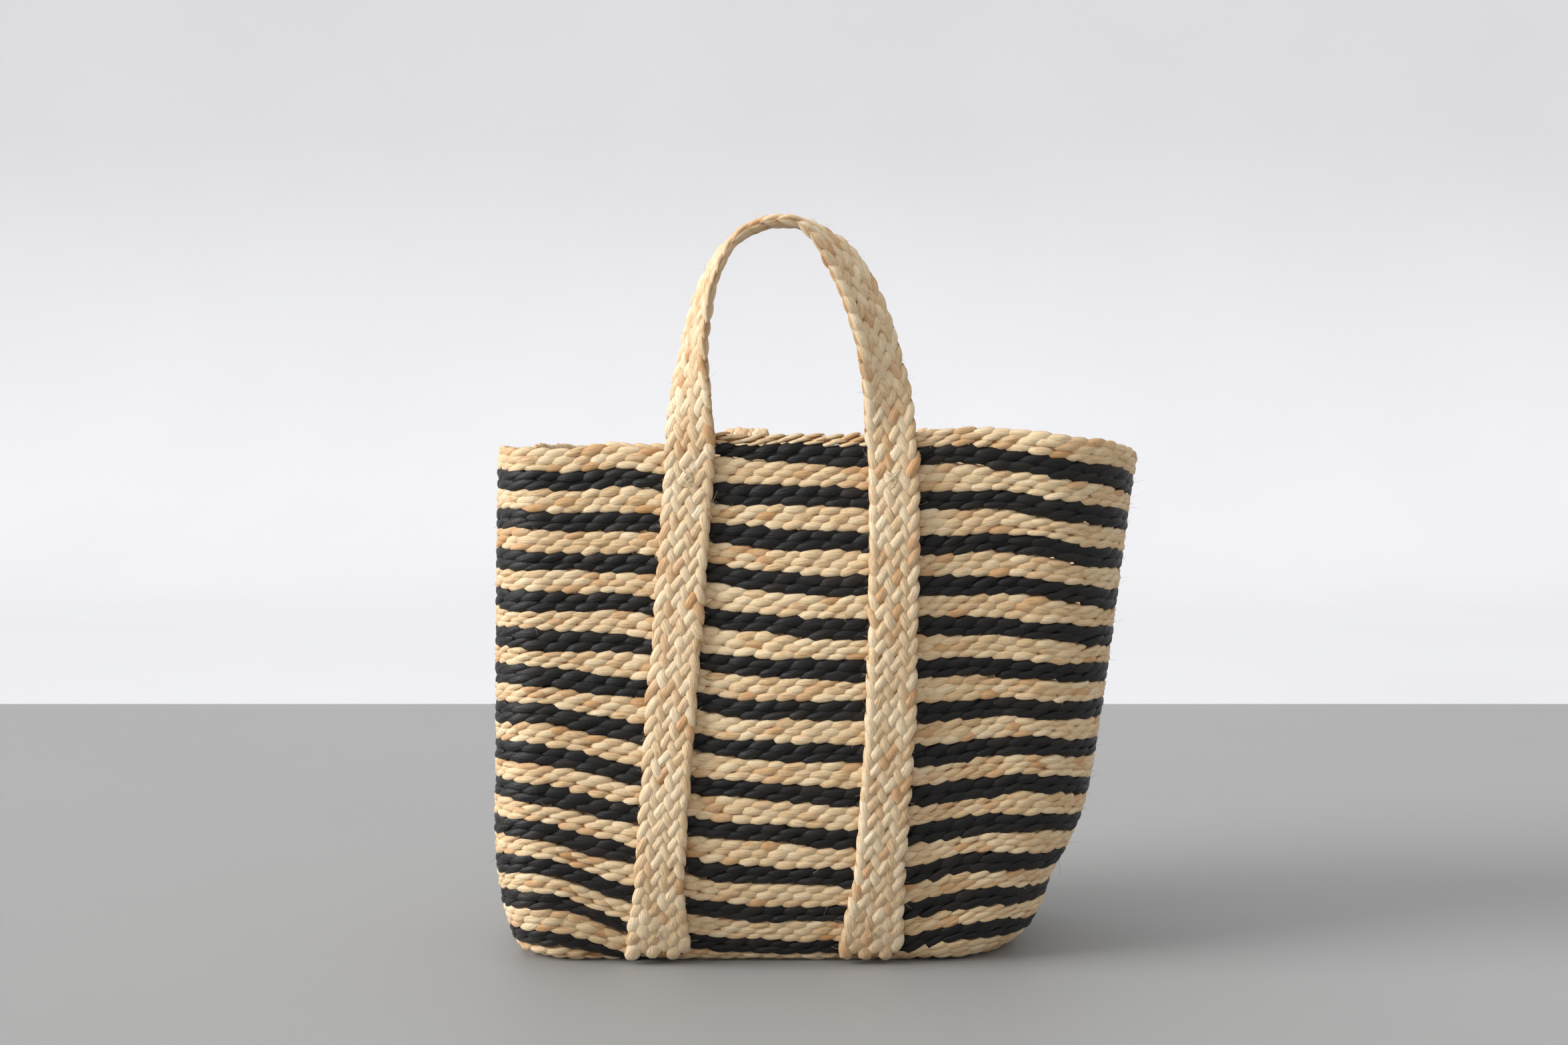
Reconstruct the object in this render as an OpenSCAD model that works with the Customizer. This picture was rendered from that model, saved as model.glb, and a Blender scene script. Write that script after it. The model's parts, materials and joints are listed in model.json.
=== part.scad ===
// Woven market basket. Two flat jute braids, one natural and one black, lie side by side and are
// wound and sewn edge to edge: first into an oval base, then up into the wall. Each turn of a braid
// is one node. Two strap handles, front and rear, are sewn down the outside of the wall, and their
// free arches swing about an axis at the rim.
// Origin: centre of the underside of the base. +Z up, front at -Y, +X to the right. Millimetres.

/* [Body] */
// Length of the base along X
base_length = 326; // [300:1:340]
// Width of the base along Y
base_width = 140; // [130:1:154]
// Length of the rim along X
rim_length = 406; // [396:1:430]
// Width of the rim along Y
rim_width = 216; // [206:1:226]
// Height of the rim above the ground
rim_height = 329; // [305:1:345]
// How far the low wall swells out at each end
end_swell = 28; // [18:1:32]
// How far the low wall swells out at the front and back
side_swell = 25; // [15:1:30]
// Height by which most of the swell is reached
swell_height = 39; // [32:1:55]
// Radius of the wall's left corners, seen from above
left_radius = 36; // [25:1:66]
// Radius of the wall's right corners, seen from above
right_radius = 62; // [40:1:66]
// How far the rim leans towards +X of the base
rim_lean = 39; // [0:1:42]
// How far the base is turned about Z from the rim, in degrees
base_angle = 8; // [0:1:10]

/* [Braid] */
// Thickness of the sewn wall and base
braid_thickness = 7; // [5:0.5:9]
// Half width of the core strip at the middle of the base
core_half_width = 6.5; // [5:0.5:8]
// Height of the thin natural turn that ends the wall at the rim
rim_turn_height = 5; // [4:0.5:8]

/* [Handles] */
// Width of a strap
strap_width = 30; // [26:1:34]
// Thickness of a strap
strap_thickness = 6; // [5:0.5:7]
// Distance between the two legs of one handle, centre to centre
leg_spacing = 131; // [115:1:150]
// How far the top of a left leg stands towards +X of its lower end
left_leg_lean = 24; // [0:1:30]
// How far the top of a right leg stands towards +X of its lower end
right_leg_lean = 21; // [0:1:30]
// Middle of the handles at the rim, along X
handle_middle = 30; // [25:1:40]
// Height of the arch's centre line above its hinge axis
arch_height = 138; // [120:1:150]
// Squareness of the arch's left shoulder, where 2 is an ellipse
left_shoulder = 2.5; // [2:0.1:3]
// Squareness of the arch's right shoulder, where 2 is an ellipse
right_shoulder = 2.0; // [2:0.1:3]
// How far the rear handle hangs folded outwards from upright, in degrees
rear_fold = 168; // [120:1:172]

/* [Hidden] */
$fn = 96;
wall_turns = 12;
base_turns = 5;
swell_power = 1.3;
lean_power = 0.6;
strap_gap = 0.8;
strap_foot_height = 5;
foot_roll_radius = 5;
foot_roll_height = foot_roll_radius + 1.5;
foot_roll_width = strap_width + 8;
axis_clearance = 1.5;
axis_above_rim = 3;
leg_below_axis = 3.6;
arch_bevel = 24;
arch_rings = 44;
arch_first_ring = 5;
twist_power = 0.6;
strap_corner = 1.5;
profile_steps = 24;
stitch_thickness = 1;
stitch_bar = 1.6;
stitch_length = 20;
stitch_below_axis = 16;
foot_stitch_height = 22;
jute = "burlywood";
black_jute = "#2b2826";
thread = "antiquewhite";

turn_height = (rim_height - rim_turn_height - braid_thickness) / (2 * wall_turns);
end_spread = (rim_length - base_length) / 2 - end_swell;
side_spread = (rim_width - base_width) / 2 - side_swell;
base_depth = half_width(braid_thickness);
base_reach = half_length(braid_thickness) - base_depth;
base_turn_width = (base_depth - core_half_width) / base_turns;
axis_height = rim_height + axis_above_rim;
leg_length = axis_height - leg_below_axis - strap_foot_height;
strap_outer_face = half_width(rim_height) + strap_gap + strap_thickness;
axis_depth = strap_outer_face + axis_clearance;

function two_digits(i) = str(i < 10 ? "0" : "", i);
BASE_NODES = ["base_core", for (k = [1:base_turns]) str("base_turn_", k)];
WALL_NODES = [
    for (i = [1:wall_turns], colour = ["natural", "black"]) str(colour, "_turn_", two_digits(i))
];
STRAP_NODES = [
    for (end = ["front", "rear"], part = ["left_strap", "right_strap", "stitches", "handle"])
        str(end, "_", part)
];

// ---- Shape of the wall: half sizes and sideways lean at a height ----

function swell(z) = 1 - exp(-pow(max(z, 0) / swell_height, swell_power));
function half_length(z) = base_length / 2 + end_swell * swell(z) + end_spread * z / rim_height;
function half_width(z) = base_width / 2 + side_swell * swell(z) + side_spread * z / rim_height;
function lean(z) = rim_lean * pow(max(z, 0) / rim_height, lean_power);
function turn_angle(z) = base_angle * (1 - z / rim_height);

// The plan of the wall, given its half sizes and how far inside the outer face it lies
module wall_plan(half_x, half_y, inset = 0) {
    for (end = [[-1, left_radius - inset], [1, right_radius - inset]]) {
        side = end[0];
        r = end[1];
        translate([side * (half_x - 2 * r) / 2, 0]) square([half_x, 2 * half_y], center = true);
        translate([side * (half_x - r) / 2, 0]) square([half_x + r, 2 * (half_y - r)], center = true);
        for (sy = [-1, 1]) translate([side * (half_x - r), sy * (half_y - r)]) circle(r);
    }
}

// ---- Base: a doubled core strip, then one oval turn after another ----

// A slot shape that reaches the given depth on every side of the core line
module oval_plan(depth) {
    square([2 * base_reach, 2 * depth], center = true);
    for (sx = [-1, 1]) translate([sx * base_reach, 0]) circle(depth);
}

module base_core() {
    color(jute) rotate(base_angle) linear_extrude(braid_thickness) oval_plan(core_half_width);
}

// The last turn reaches out to the plan of the wall
module base_turn(k) {
    depth = core_half_width + k * base_turn_width;
    color(k % 2 == 1 ? black_jute : jute) rotate(base_angle) linear_extrude(braid_thickness) difference() {
        if (k == base_turns) wall_plan(half_length(braid_thickness), base_depth);
        else oval_plan(depth);
        oval_plan(depth - base_turn_width);
    }
}

// ---- Wall: flat rings, each one standing on the outer edge of the one below ----

module wall_ring(bottom, top) {
    wall = braid_thickness;
    translate([lean(bottom), 0, bottom]) rotate(turn_angle(bottom)) linear_extrude(top - bottom)
        difference() {
            wall_plan(half_length(top), half_width(top));
            wall_plan(half_length(bottom) - wall, half_width(bottom) - wall, wall);
        }
}

// The natural and the black turn of a pair lie one above the other
function turn_bottom(level) = braid_thickness + level * turn_height;

module natural_turn(i) {
    level = 2 * (i - 1);
    color(jute) wall_ring(turn_bottom(level), turn_bottom(level + 1));
}

module black_turn(i) {
    level = 2 * (i - 1) + 1;
    color(black_jute) wall_ring(turn_bottom(level), turn_bottom(level + 1));
}

module rim_turn() {
    color(jute) wall_ring(rim_height - rim_turn_height, rim_height);
}

// ---- Sewn legs of the straps: they follow the front or back of the wall ----

// A leg is named by its side, left (-1) or right (1), and by its end, front (1) or rear (-1). Both ends
// are drawn at the front, and the rear is mirrored into place.
function leg_lean(side) = side < 0 ? left_leg_lean : right_leg_lean;
function leg_top(side) = handle_middle + side * leg_spacing / 2;
function leg_x(z, side) = leg_top(side) - leg_lean(side) * (axis_height - z) / rim_height;

// Distance of the strap's inner face from the middle of the basket, clear of the stepped, turned rings
function face_depth(z, side, end) = let (a = turn_angle(z), top = min(z + turn_height + 2, rim_height))
    half_width(top) / cos(a) + (strap_width / 2 - end * (leg_x(z, side) - lean(z))) * tan(a) + strap_gap;
function leg_height(s) = strap_foot_height + leg_length * s / profile_steps;
function face_line(depth, side, end) = [
    for (s = [0:profile_steps]) [-face_depth(leg_height(s), side, end) - depth, leg_height(s)]
];
function reversed(points) = [for (i = [len(points) - 1:-1:0]) points[i]];

// A layer along the whole leg, between two depths from its inner face
module leg_layer(inner, outer, side, end) {
    rotate([90, 0, 90]) translate([0, 0, -strap_width / 2]) linear_extrude(strap_width)
        polygon(concat(face_line(inner, side, end), reversed(face_line(outer, side, end))));
}

module strap_leg(side, end) {
    leg_layer(0, strap_thickness, side, end);
    depth = face_depth(foot_roll_height, side, end) + foot_roll_radius;
    translate([-foot_roll_width / 2, -depth, foot_roll_height]) rotate([0, 90, 0])
        cylinder(h = foot_roll_width, r = foot_roll_radius);
}

// A cross of thick thread, cut from a thin layer on the strap's outer face
module cross_stitch(height, side, end) {
    intersection() {
        leg_layer(strap_thickness, strap_thickness + stitch_thickness, side, end);
        translate([0, 0, height]) for (turn = [-45, 45]) rotate([0, turn, 0])
            cube([stitch_bar, 2 * rim_width, stitch_length], center = true);
    }
}

// Puts a leg in its place at the front, tilted sideways about its top
module place_leg(side) {
    translate([leg_top(side), 0, axis_height]) rotate([0, atan(leg_lean(side) / rim_height), 0])
        translate([0, 0, -axis_height]) children();
}

module at_end(end) {
    mirror([0, end < 0 ? 1 : 0, 0]) children();
}

module strap(side, end) {
    color(jute) at_end(end) place_leg(side) strap_leg(side, end);
}

module stitches(end) {
    color(thread) at_end(end) for (side = [-1, 1]) place_leg(side) {
        cross_stitch(axis_height - stitch_below_axis, side, end);
        cross_stitch(foot_stitch_height, side, end);
    }
}

// ---- Handle arch: one strap that turns edge-on towards its crown ----

function shoulder(phi) = 2 / (phi < 90 ? left_shoulder : right_shoulder);
function arch_x(phi) = -sign(cos(phi)) * leg_spacing / 2 * pow(abs(cos(phi)), shoulder(phi));
function arch_z(phi) = arch_height * pow(sin(phi), shoulder(phi));
function twist(phi) = 90 * pow(sin(phi), twist_power);
function arch_point(phi) = [arch_x(phi), arch_z(phi)];
function arch_direction(phi) = let (step = arch_point(phi + 1) - arch_point(phi - 1)) step / norm(step);

// The strap's section: a flat rectangle with its four corners cut off
SECTION = let (w = strap_width / 2, t = strap_thickness / 2, c = strap_corner) [
    [-w + c, -t], [w - c, -t], [w, -t + c], [w, t - c], [w - c, t], [-w + c, t], [-w, t - c], [-w, -t + c]
];

// Section across the arch: [across, through] turned by the twist about the arch's own direction
function arch_section(phi) = let (d = arch_direction(phi), a = twist(phi)) [
    for (p = SECTION) let (flat = p[0] * cos(a) - p[1] * sin(a), out = p[0] * sin(a) + p[1] * cos(a))
        [arch_x(phi) - d[1] * flat, out, arch_z(phi) + d[0] * flat]
];

// The foot of the arch, cut at a bevel so that it clears the leg's top when it swings inwards
function foot_section(side) = [
    for (p = SECTION) let (x = side * p[0], y = p[1])
        [side * leg_spacing / 2 + x, y, tan(arch_bevel) * (y + strap_thickness / 2 + axis_clearance)]
];

// The inside edge of the strap turns to the front, so each section runs from the outer edge inwards
arch_sections = concat(
    [foot_section(-1)],
    [for (i = [0:arch_rings]) arch_section(arch_first_ring + (180 - 2 * arch_first_ring) * i / arch_rings)],
    [foot_section(1)]
);

function tube_faces(rings, sides) = concat(
    [[for (i = [0:sides - 1]) i]],
    [[for (i = [sides - 1:-1:0]) (rings - 1) * sides + i]],
    [for (r = [0:rings - 2], i = [0:sides - 1])
        let (j = (i + 1) % sides, near = r * sides, far = (r + 1) * sides)
        each [[near + i, far + i, far + j], [near + i, far + j, near + j]]]
);

// The arch stands upright over its hinge axis, with the strap inboard of the axis
module arch() {
    points = [for (s = arch_sections, p = s) p];
    translate([handle_middle, strap_thickness / 2 + axis_clearance, 0])
        polyhedron(points, tube_faces(len(arch_sections), len(SECTION)), convexity = 6);
}

module handle(end) {
    fold = end < 0 ? rear_fold : 0;
    color(jute) at_end(end) translate([0, -axis_depth, axis_height]) rotate([fold, 0, 0]) arch();
}

base_core();
for (k = [1:base_turns]) base_turn(k);
for (i = [1:wall_turns]) natural_turn(i);
for (i = [1:wall_turns]) black_turn(i);
rim_turn();
for (e = [["front", 1], ["rear", -1]]) {
    strap(-1, e[1]);
    strap(1, e[1]);
    stitches(e[1]);
    handle(e[1]);
}
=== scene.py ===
"""Woven market basket: the looks of its jute braids, straps and stitches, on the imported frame.

Two flat braids, one natural and one black, lie side by side and wind as a double spiral from the
rim down the wall and across the base. Each braid is made of the leaf-shaped floats of its strands.
"""
import json
import math

import bpy
import numpy as np
from mathutils import Euler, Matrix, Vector


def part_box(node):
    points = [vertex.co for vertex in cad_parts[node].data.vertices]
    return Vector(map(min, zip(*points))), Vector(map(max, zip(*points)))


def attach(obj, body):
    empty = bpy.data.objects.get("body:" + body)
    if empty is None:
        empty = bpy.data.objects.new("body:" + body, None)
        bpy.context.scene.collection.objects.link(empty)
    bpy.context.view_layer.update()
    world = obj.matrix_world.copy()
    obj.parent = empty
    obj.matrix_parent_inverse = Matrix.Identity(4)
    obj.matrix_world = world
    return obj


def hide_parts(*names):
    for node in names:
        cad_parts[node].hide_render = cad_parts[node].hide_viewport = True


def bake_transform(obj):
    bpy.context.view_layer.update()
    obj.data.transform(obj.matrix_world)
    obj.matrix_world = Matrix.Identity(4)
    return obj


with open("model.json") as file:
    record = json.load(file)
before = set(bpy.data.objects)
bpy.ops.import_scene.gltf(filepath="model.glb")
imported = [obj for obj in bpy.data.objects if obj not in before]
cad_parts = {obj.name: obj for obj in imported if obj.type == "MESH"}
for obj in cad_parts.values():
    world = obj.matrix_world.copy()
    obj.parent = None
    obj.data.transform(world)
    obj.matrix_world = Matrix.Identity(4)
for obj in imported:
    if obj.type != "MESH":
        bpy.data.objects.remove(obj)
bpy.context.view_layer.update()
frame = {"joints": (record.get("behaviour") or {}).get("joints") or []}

RNG = np.random.default_rng(7)
MM = 0.001

# ---- Sizes, in metres ----

WALL_HALF = 3.5 * MM             # half the thickness of the sewn wall
LEFT_CORNER = 36 * MM            # outer radius of the wall's left corners, seen from above
RIGHT_CORNER = 62 * MM           # the same for its right corners
BASE_ANGLE = math.radians(8)     # how far the base is turned about Z from the rim
BOTTOM_ROUNDING = 3 * MM         # spread of the blur that rounds the bottom edge
CORE_RINGS = 8                   # rings of the shell between the last base turn and the core
FOOT_HEIGHT = 9 * MM             # height at which the wall gives way to the rounded bottom edge
PAIR = 26.4 * MM                 # one natural and one black course together
BLACK_HALF = 6.2 * MM            # half the height of a black course
RIM_BRAID = 5.5 * MM             # height of the natural braid where it begins at the rim
RIM_GROWTH = (0.23, 0.19)        # place where it starts to grow, and how much of a turn it grows for
FIRST_BLACK = -4.9 * MM          # depth below the rim of the first black course, at the left end
SPIRAL_START = 0.192             # place round the rim, behind the left strap, where the braids end
SPIRAL_STOP = 13.5 * MM          # how far short of the core the spiral stops
NATURAL_PITCH = 11.6 * MM        # distance from one float to the next along a row
BLACK_PITCH = 13.6 * MM
FLOAT_HALF = 2.2 * MM            # half the thickness of a float of the wall's braids
FLOAT_LIFT = 1.7 * MM            # how far a float's middle stands off the middle of the wall

STRAP_WIDTH = 29.5 * MM
STRAP_HALF = 3.3 * MM            # half the thickness of a strap
STRAP_PITCH = 11 * MM            # distance from one float to the next along a strap
SOLID_HALF = 15 * MM             # half the width of a strap's CAD solid
SOLID_FOOT = 19 * MM             # half the width of the solid's turned-under foot
FOOT_SPREAD = 0.38               # share by which a strap widens towards its foot
FOOT_SPREAD_HEIGHT = 60 * MM     # height over which it widens
SPLIT = 10 * MM                  # how far past the hinge a leg's piece ends and the arch's begins
ARCH_HEIGHT = 138 * MM           # height of the arch's middle line above its hinge
REAR_FOLD = math.radians(168)    # how far the rear handle is folded outwards from upright
MIRROR = np.array([1, -1, 1])    # turns the front strap's points into the rear one's
CAMERA_TURN = math.radians(8)    # the camera looks from a little right of the front

# How the soft straps stray from the CAD's even ones: the shift of each leg's top along X and the power of
# its lean down the wall, the shift of each end of the arch, and the power of the arch's curve
LEG_STRAY = {"left": (3.5 * MM, 1.1), "right": (-2.5 * MM, 2.4)}
ARCH_ENDS = {"left": 3.0 * MM, "right": -4.0 * MM}
ARCH_POWERS = {"left": 2 / 2.7, "right": 2 / 1.85}

# How far the arch is twisted from flat, in degrees, at each share of its height
TWIST_HEIGHTS = [0, 0.1, 0.4, 0.65, 0.85, 1.0]
ARCH_TWISTS = {"left": [0, 12, 50, 62, 74, 90], "right": [0, 14, 42, 48, 58, 90]}

# Places round the basket run from 0 at the left end past the front (0.25), the right end (0.5) and the
# back (0.75). Where the soft wall bulges, as (place, spread, mm), and the same for the rim's rise or sag
WALL_BULGES = [(0.24, 0.06, 2.5), (0.74, 0.09, 2.0), (0.385, 0.055, -9.0)]
RIM_RISES = [(0.5, 0.055, -9.0), (0.37, 0.04, 2.0)]

# The dent low on the right end, as (place, spread, mm), with its depth below the rim and spread of depth
LOW_DENT = (0.46, 0.07, -9.0)
LOW_DENT_DEPTH = (285 * MM, 40 * MM)

# Small unevenness of the wall and of its courses, as (mm, waves a turn, radians a metre of depth, phase)
WALL_WAVES = [(0.9, 3, 14, 0.6), (0.7, 5, -21, 2.0)]
COURSE_WAVES = [(0.8, 6, 40, 0.0), (0.6, 11, -55, 1.0), (0.4, 23, 80, 0.0)]

# Where a course dips on its way round, as (place, dip near the rim, dip near the foot) in mm
COURSE_DIPS = [
    (0.00, 0, -20), (0.09, -4, -30), (0.117, -4, -27), (0.134, -7, -17), (0.156, -10, -9),
    (0.175, -8, -5), (0.21, -2, 1), (0.25, 0, 2), (0.28, 0, 3), (0.322, -1, 3),
    (0.339, -1, -1), (0.356, -1, -6), (0.371, 1, -11), (0.39, 4, -14), (0.42, 8, -14),
    (0.50, 14, -11), (0.62, 10, -6), (0.75, 6, 0), (0.88, 3, -6), (1.00, 0, -20),
]

# The rows of floats across a wall braid: (offset in half heights, half height of a float)
NATURAL_ROWS = [(0.64, 2.8 * MM), (0.0, 3.1 * MM), (-0.64, 2.8 * MM)]
BLACK_ROWS = [(0.46, 3.9 * MM), (-0.50, 3.4 * MM)]

# The columns of floats across a strap: (offset in half widths, slant in degrees, half length and half
# width in mm)
COLUMNS = [
    (-0.79, 17, 10.8, 3.5), (-0.47, -24, 10.6, 3.6), (-0.15, 25, 10.6, 3.6),
    (0.17, -25, 10.6, 3.6), (0.49, 24, 10.6, 3.6), (0.79, -15, 10.8, 3.5),
]

# The stitches of a strap: (distance down from the hinge if negative, or up from the foot, half size,
# lightness)
STITCHES = [(-14 * MM, 4.5 * MM, 0.6), (-19 * MM, 3.0 * MM, 0.5), (24 * MM, 4.5 * MM, 0.1)]

# The tone of the backing inside a braid: dark, not rusty, and wholly painted shade, as it shows only in the
# shadow between the floats
SHADED_BACKING_TONE = (0.1, 0.0, 1.0, 1.0)

# Turns of each braid down the wall, and the wall's CAD nodes from the rim down
WALL_TURNS = {"natural": 13, "black": 12}
WALL_NODES = ["rim_turn"]
for turn in range(WALL_TURNS["black"], 0, -1):
    WALL_NODES += [f"black_turn_{turn:02d}", f"natural_turn_{turn:02d}"]


# ---- Helpers ----

def smoothstep(x):
    x = np.clip(x, 0.0, 1.0)
    return x * x * (3.0 - 2.0 * x)


def unit(v):
    return v / np.maximum(np.linalg.norm(v, axis=-1, keepdims=True), 1e-12)


def hump(value, centre, spread):
    """A smooth hump of height 1."""
    return np.exp(-((value - centre) / spread) ** 2)


def humps(table, place):
    """The sum of a table's humps round the basket, in its own units."""
    return sum(height * hump(place % 1.0, centre, spread) for centre, spread, height in table)


def ripple(waves, turns, depth):
    """The sum of a table's waves, in its own units."""
    turn = 2 * math.pi * turns
    return sum(size * np.sin(count * turn + rate * depth + phase) for size, count, rate, phase in waves)


def circle(sides):
    """Even angles round a circle."""
    return 2 * np.pi * np.arange(sides) / sides


def run_along(line):
    """Distance of each point of a line from its start."""
    return np.concatenate([[0.0], np.cumsum(np.linalg.norm(np.diff(line, axis=0), axis=1))])


def pick(values, run, where):
    """Points or directions of a line at some distances from its start."""
    return np.stack([np.interp(where, run, values[:, i]) for i in range(3)], axis=1)


def turned(along, across, angle):
    """A pair of directions turned by an angle within their plane."""
    cos, sin = np.cos(angle)[:, None], np.sin(angle)[:, None]
    return along * cos + across * sin, across * cos - along * sin


# ---- The shell: the middle surface of the wall and base, by place round it and depth below the rim ----

def wall_sizes(node, rim):
    """Half length, half width, middle along X, turn about Z and top of a CAD turn of the wall."""
    low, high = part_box(node)
    turn = BASE_ANGLE * (1 - min(low.z / rim, 1.0))
    cos, sin = math.cos(turn), math.sin(turn)
    round_off = (LEFT_CORNER + RIGHT_CORNER) * (1 - cos - sin)
    across = (high.x - low.x - round_off) / 2
    deep = (high.y - low.y - round_off) / 2
    length = (across * cos - deep * sin) / math.cos(2 * turn)
    width = (deep * cos - across * sin) / math.cos(2 * turn)
    right = length * cos + width * sin + RIGHT_CORNER * (1 - cos - sin)
    return length, width, high.x - right, turn, high.z


def core_sizes():
    """Half length of the core line at the middle of the base, and half width of its braid."""
    low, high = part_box("base_core")
    cos, sin = math.cos(BASE_ANGLE), math.sin(BASE_ANGLE)
    reach = (high.x - low.x - high.y + low.y) / (2 * (cos - sin))
    return reach, (high.x - low.x) / 2 - reach * cos


def profile_table():
    """Half length, half width, middle, turn and height of the shell at even steps of depth."""
    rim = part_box("rim_turn")[1].z
    rows = []
    for node in WALL_NODES + ["base_turn_5"]:
        length, width, middle, turn, top = wall_sizes(node, rim)
        rows.append((length - WALL_HALF, width - WALL_HALF, middle, turn, top))
    reach, _ = core_sizes()
    for half_width in np.linspace(width - 2.6 * WALL_HALF, 0.0, CORE_RINGS):
        rows.append((reach + half_width, half_width, 0.0, BASE_ANGLE, WALL_HALF))
    rows = np.array(rows)
    steps = np.hypot(np.diff(rows[:, 1]), np.diff(rows[:, 4]))
    depth = np.concatenate([[0.0], np.cumsum(steps)])
    even = np.linspace(0.0, depth[-1], 600)
    table = np.stack([np.interp(even, depth, rows[:, i]) for i in range(5)], axis=1)
    return even, soften(table, even[1] - even[0], BOTTOM_ROUNDING)


def soften(table, step, spread):
    """Blurs the table's rows along the profile, which rounds the bottom edge."""
    reach = int(3 * spread / step)
    weights = np.exp(-0.5 * (np.arange(-reach, reach + 1) * step / spread) ** 2)
    weights /= weights.sum()
    head = table[0] + (table[0] - table[1]) * np.arange(reach, 0, -1)[:, None]
    tail = table[-1] + (table[-1] - table[-2]) * np.arange(1, reach + 1)[:, None]
    padded = np.concatenate([head, table, tail])
    return np.stack([np.convolve(padded[:, i], weights, mode="valid") for i in range(5)], axis=1)


DEPTHS, PROFILE = profile_table()
FULL_DEPTH = DEPTHS[-1]
FOOT_DEPTH = float(np.interp(-FOOT_HEIGHT, -PROFILE[:, 4], DEPTHS))


def profile(depth):
    """The shell's sizes at a depth, carried on straight up above the rim."""
    length, width, middle, turn, height = (np.interp(depth, DEPTHS, PROFILE[:, i]) for i in range(5))
    return length, width, middle, turn, height + np.maximum(-depth, 0.0)


def corner_radii(width):
    """Radii of the left and right corners, which shrink with the plan near the middle of the base."""
    return np.minimum(LEFT_CORNER - WALL_HALF, width), np.minimum(RIGHT_CORNER - WALL_HALF, width)


def plan_spans(length, width):
    """The nine stretches round the plan, from the middle of the left end round the front, as length,
    start or centre, direction, and radius. A stretch with a radius is an arc."""
    left, right = corner_radii(width)
    front = 2 * length - left - right
    quarter = math.pi / 2
    return [
        (width - left, -length, 0 * width, math.pi, None),
        (quarter * left, left - length, left - width, math.pi, left),
        (front, left - length, -width, 1.5 * math.pi, None),
        (quarter * right, length - right, right - width, 1.5 * math.pi, right),
        (2 * (width - right), length, right - width, 0.0, None),
        (quarter * right, length - right, width - right, 0.0, right),
        (front, length - right, width, quarter, None),
        (quarter * left, left - length, width - left, quarter, left),
        (width - left, -length, width - left, math.pi, None),
    ]


def round_plan(length, width, place):
    """Point and outward direction on a rectangle with round corners."""
    spans = plan_spans(length, width)
    run = (place % 1.0) * sum(span[0] for span in spans)
    x, y, nx, ny = (np.zeros_like(place) for _ in range(4))
    begun = np.zeros_like(place)
    for span, start_x, start_y, angle, radius in spans:
        here = (run >= begun) & (run <= begun + span + 1e-9)
        along = run - begun
        if radius is None:
            dx, dy = math.cos(angle), math.sin(angle)
            px, py = start_x - along * dy, start_y + along * dx
        else:
            turn = angle + along / np.maximum(radius, 1e-6)
            dx, dy = np.cos(turn), np.sin(turn)
            px, py = start_x + radius * dx, start_y + radius * dy
        x, y = np.where(here, px, x), np.where(here, py, y)
        nx, ny = np.where(here, dx, nx), np.where(here, dy, ny)
        begun = begun + span
    return x, y, nx, ny


def plan_place(x, depth, end):
    """Place round the shell where its front or rear lies at x."""
    length, width, middle, turn, _ = profile(depth)
    spans = plan_spans(length, width)
    left, right = corner_radii(width)
    if end == "front":
        local = (x - middle - width * np.sin(turn)) / np.cos(turn)
        run = spans[0][0] + spans[1][0] + local + length - left
    else:
        local = (x - middle + width * np.sin(turn)) / np.cos(turn)
        run = sum(span[0] for span in spans[:6]) + length - right - local
    return run / sum(span[0] for span in spans)


def wall_bulge(place, depth):
    """How far the soft wall stands out from its even shape: most at half height, and not at its foot."""
    rim_share, settled, fade_length = 0.35, 0.6, 50 * MM
    soft = np.sin(math.pi * np.clip(depth / FOOT_DEPTH, 0.0, 1.0)) + rim_share
    waves = ripple(WALL_WAVES, place, depth) - settled
    belly = humps(WALL_BULGES, place)
    dent = humps([LOW_DENT], place) * hump(depth, *LOW_DENT_DEPTH)
    fade = 1.0 - smoothstep((depth - FOOT_DEPTH + fade_length) / fade_length)
    return (waves * soft + belly * soft + dent) * fade * MM


def rim_rise(place, depth):
    """How far the rim and the courses near it rise, or hang a little at the right end."""
    reach = 90 * MM
    return humps(RIM_RISES, place) * smoothstep(1.0 - depth / reach) * MM


def shell_point(place, depth):
    """A point of the shell, by place round the basket and depth below the rim."""
    length, width, middle, turn, height = profile(depth)
    x, y, nx, ny = round_plan(length, width, place)
    out = wall_bulge(place, depth)
    x, y = x + nx * out, y + ny * out
    cos, sin = np.cos(turn), np.sin(turn)
    x, y = middle + x * cos - y * sin, x * sin + y * cos
    return np.stack([x, y, height + rim_rise(place, depth)], axis=-1)


def shell_frame(place, depth):
    """Point, direction round the basket, direction up the wall, and outward direction."""
    place, depth = np.broadcast_arrays(np.asarray(place, float), np.asarray(depth, float))
    point = shell_point(place, depth)
    aside, nudge = 0.0015, 1.5 * MM
    around = unit(shell_point(place + aside, depth) - shell_point(place - aside, depth))
    up = shell_point(place, depth - nudge) - shell_point(place, depth + nudge)
    up = unit(up - around * np.sum(up * around, axis=-1, keepdims=True))
    return point, around, up, np.cross(around, up)


# ---- The spiral: depth of each braid after a number of turns ----

def course_dip(turns, depth):
    """How far a course lies below its even depth: smoothed along the way round, and fading on the base."""
    places, near_rim, near_foot = (np.array(column, float) for column in zip(*COURSE_DIPS))
    fade_start, fade_length = FOOT_DEPTH - 5 * MM, 95 * MM
    dip = np.zeros_like(turns)
    offsets = np.linspace(-0.012, 0.012, 5)
    low = np.clip(depth / FOOT_DEPTH, 0.0, 1.0) ** 1.25
    for offset in offsets:
        at = (turns + offset) % 1.0
        dip += (1 - low) * np.interp(at, places, near_rim) + low * np.interp(at, places, near_foot)
    return dip / len(offsets) * (1.0 - smoothstep((depth - fade_start) / fade_length)) * MM


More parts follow.
